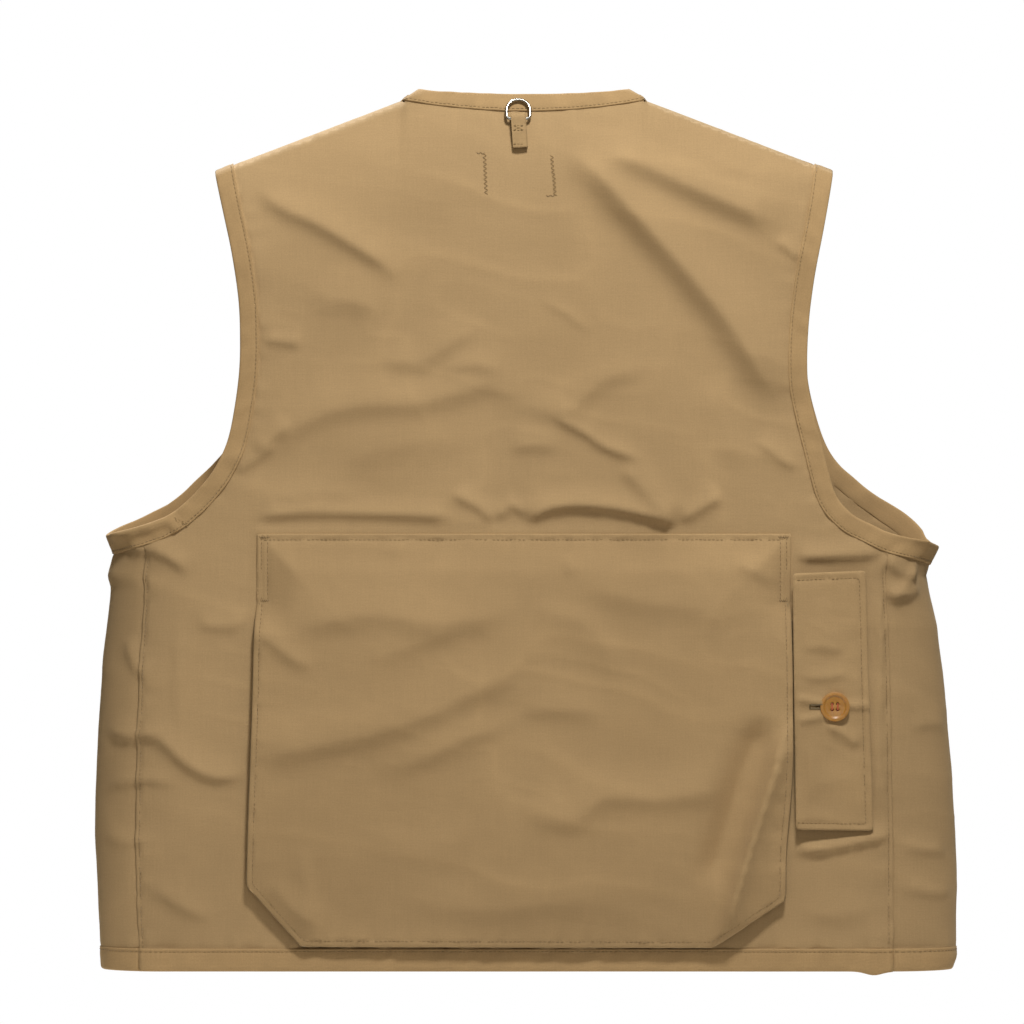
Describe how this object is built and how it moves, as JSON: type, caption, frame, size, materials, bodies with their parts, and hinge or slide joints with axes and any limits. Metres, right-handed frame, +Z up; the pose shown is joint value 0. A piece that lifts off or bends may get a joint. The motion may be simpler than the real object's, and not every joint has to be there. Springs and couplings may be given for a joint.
{
  "type": "fishing vest",
  "caption": "Cotton fishing vest hanging by its shoulders, with a creel pouch and net ring on the back, bellows pockets and an open zip on the front.",
  "frame": {"origin": "midway between the inner ends of the two shoulders, where the vest is held up", "axes": "+Z up along the vest, +Y out of its back, +X towards the wearer's left"},
  "size_m": [0.5956, 0.0934, 0.6154],
  "materials": {
    "khaki_panel": "worn cotton poplin, fine plain weave, matt",
    "khaki_band": "the same poplin folded into bindings, creased along its stitching",
    "khaki_pocket": "the same poplin in pockets, flaps and the net tab",
    "button_plastic": "cast amber-mustard plastic, softly polished",
    "nickel_ring": "nickel-plated steel wire, lightly worn",
    "zip_brass": "antique brass",
    "zip_tape": "woven cotton tape",
    "label_cloth": "plain unprinted satin ribbon",
    "fleece": "natural shearling pile"
  },
  "bodies": {
    "vest": {"back_panel": "khaki_panel", "front_panel_left": "khaki_panel", "front_panel_right": "khaki_panel", "neck_band_back": "khaki_band", "armhole_band_left": "khaki_band", "armhole_band_right": "khaki_band", "hem_band_back": "khaki_band", "hem_band_left": "khaki_band", "hem_band_right": "khaki_band", "creel_pouch": "khaki_pocket", "creel_gusset": "khaki_pocket", "creel_flap_button": "button_plastic", "neck_label": "label_cloth", "fly_patch": "fleece", "net_tab": "khaki_pocket", "neck_band_upper_left": "khaki_band", "chest_pocket_left": "khaki_pocket", "chest_button_left": "button_plastic", "lower_pocket_left": "khaki_pocket", "lower_button_left": "button_plastic", "neck_band_upper_right": "khaki_band", "chest_pocket_right": "khaki_pocket", "chest_button_right": "button_plastic", "lower_pocket_right": "khaki_pocket", "lower_button_right": "button_plastic"},
    "front_left": {"front_opening_left": "khaki_panel", "neck_band_lower_left": "khaki_band", "hem_band_opening_left": "khaki_band", "zip_tape_left": "zip_tape", "zip_teeth_left": "zip_brass", "zip_top_stop_left": "zip_brass", "zip_box": "zip_brass"},
    "front_right": {"front_opening_right": "khaki_panel", "neck_band_lower_right": "khaki_band", "hem_band_opening_right": "khaki_band", "zip_tape_right": "zip_tape", "zip_teeth_right": "zip_brass", "zip_top_stop_right": "zip_brass", "zip_pin": "zip_brass"},
    "slider": {"zip_slider": "zip_brass"},
    "pull": {"zip_pull": "zip_brass"},
    "ring": {"net_ring": "nickel_ring"},
    "creel_flap": {"creel_flap": "khaki_pocket"},
    "chest_flap_left": {"chest_flap_left": "khaki_pocket"},
    "lower_flap_left": {"lower_flap_left": "khaki_pocket"},
    "chest_flap_right": {"chest_flap_right": "khaki_pocket"},
    "lower_flap_right": {"lower_flap_right": "khaki_pocket"}
  },
  "joints": [
    {"name": "front_left_open", "type": "hinge", "parent": "vest", "child": "front_left", "pos_m": [0.06, -0.03079, -0.3], "axis": [0, 0.0066, 1], "range_deg": [0, 120]},
    {"name": "front_right_open", "type": "hinge", "parent": "vest", "child": "front_right", "pos_m": [-0.06, -0.03079, -0.3], "axis": [0, -0.0066, -1], "range_deg": [0, 120]},
    {"name": "zip_slide", "type": "slide", "parent": "front_left", "child": "slider", "axis": [0, 0.0066, 1], "range_m": [0, 0.406]},
    {"name": "zip_pull_flip", "type": "hinge", "parent": "slider", "child": "pull", "pos_m": [0.005, -0.03513, -0.579], "axis": [-1, 0, 0], "range_deg": [0, 160]},
    {"name": "net_ring_swing", "type": "hinge", "parent": "vest", "child": "ring", "pos_m": [0.004, 0.02504, -0.01119], "axis": [-1, 0, 0], "range_deg": [0, 150]},
    {"name": "creel_flap_open", "type": "hinge", "parent": "vest", "child": "creel_flap", "pos_m": [-0.1868, 0.04018, -0.42], "axis": [0, 0.0066, -1], "range_deg": [0, 150]},
    {"name": "chest_flap_left_lift", "type": "hinge", "parent": "vest", "child": "chest_flap_left", "pos_m": [0.132, -0.03083, -0.155], "axis": [-1, 0, 0], "range_deg": [0, 120]},
    {"name": "chest_flap_right_lift", "type": "hinge", "parent": "vest", "child": "chest_flap_right", "pos_m": [-0.132, -0.03083, -0.155], "axis": [-1, 0, 0], "range_deg": [0, 120]},
    {"name": "lower_flap_left_lift", "type": "hinge", "parent": "vest", "child": "lower_flap_left", "pos_m": [0.166, -0.03226, -0.372], "axis": [-1, 0, 0], "range_deg": [0, 120]},
    {"name": "lower_flap_right_lift", "type": "hinge", "parent": "vest", "child": "lower_flap_right", "pos_m": [-0.166, -0.03226, -0.372], "axis": [-1, 0, 0], "range_deg": [0, 120]}
  ]
}
